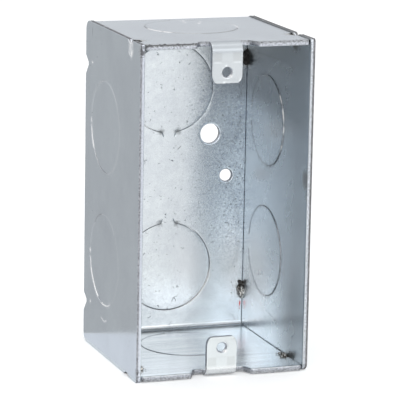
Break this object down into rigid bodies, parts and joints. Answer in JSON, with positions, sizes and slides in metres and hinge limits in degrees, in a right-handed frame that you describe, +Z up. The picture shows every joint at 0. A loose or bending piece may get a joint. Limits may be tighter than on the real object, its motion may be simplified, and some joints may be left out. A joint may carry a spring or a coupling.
{
  "type": "rectangular electrical box",
  "caption": "Upright rectangular galvanised steel wiring box with an open front, screw ears at both ends of the opening and round knockouts in every wall.",
  "frame": {"origin": "centre of the back's outer face, where the box is screwed to a stud or a wall", "axes": "+Z up along the box's height, the open front faces -Y, +Y points out of the back, +X to the right seen from the front"},
  "size_m": [0.054, 0.054, 0.1016],
  "materials": {
    "galvanised_strip": "galvanised, satin, with faint rolling streaks and spangle",
    "galvanised_plate": "galvanised, satin, with faint rolling streaks and spangle",
    "weld_metal": "burnt and rough, with bright beads"
  },
  "bodies": {
    "root": {"body_strip": "galvanised_strip", "left_side_plate": "galvanised_plate", "right_side_plate": "galvanised_plate", "weld_left_back_upper": "weld_metal", "weld_left_back_lower": "weld_metal", "weld_left_top": "weld_metal", "weld_left_bottom": "weld_metal", "weld_right_back_upper": "weld_metal", "weld_right_back_lower": "weld_metal", "weld_right_top": "weld_metal", "weld_right_bottom": "weld_metal"}
  },
  "joints": []
}
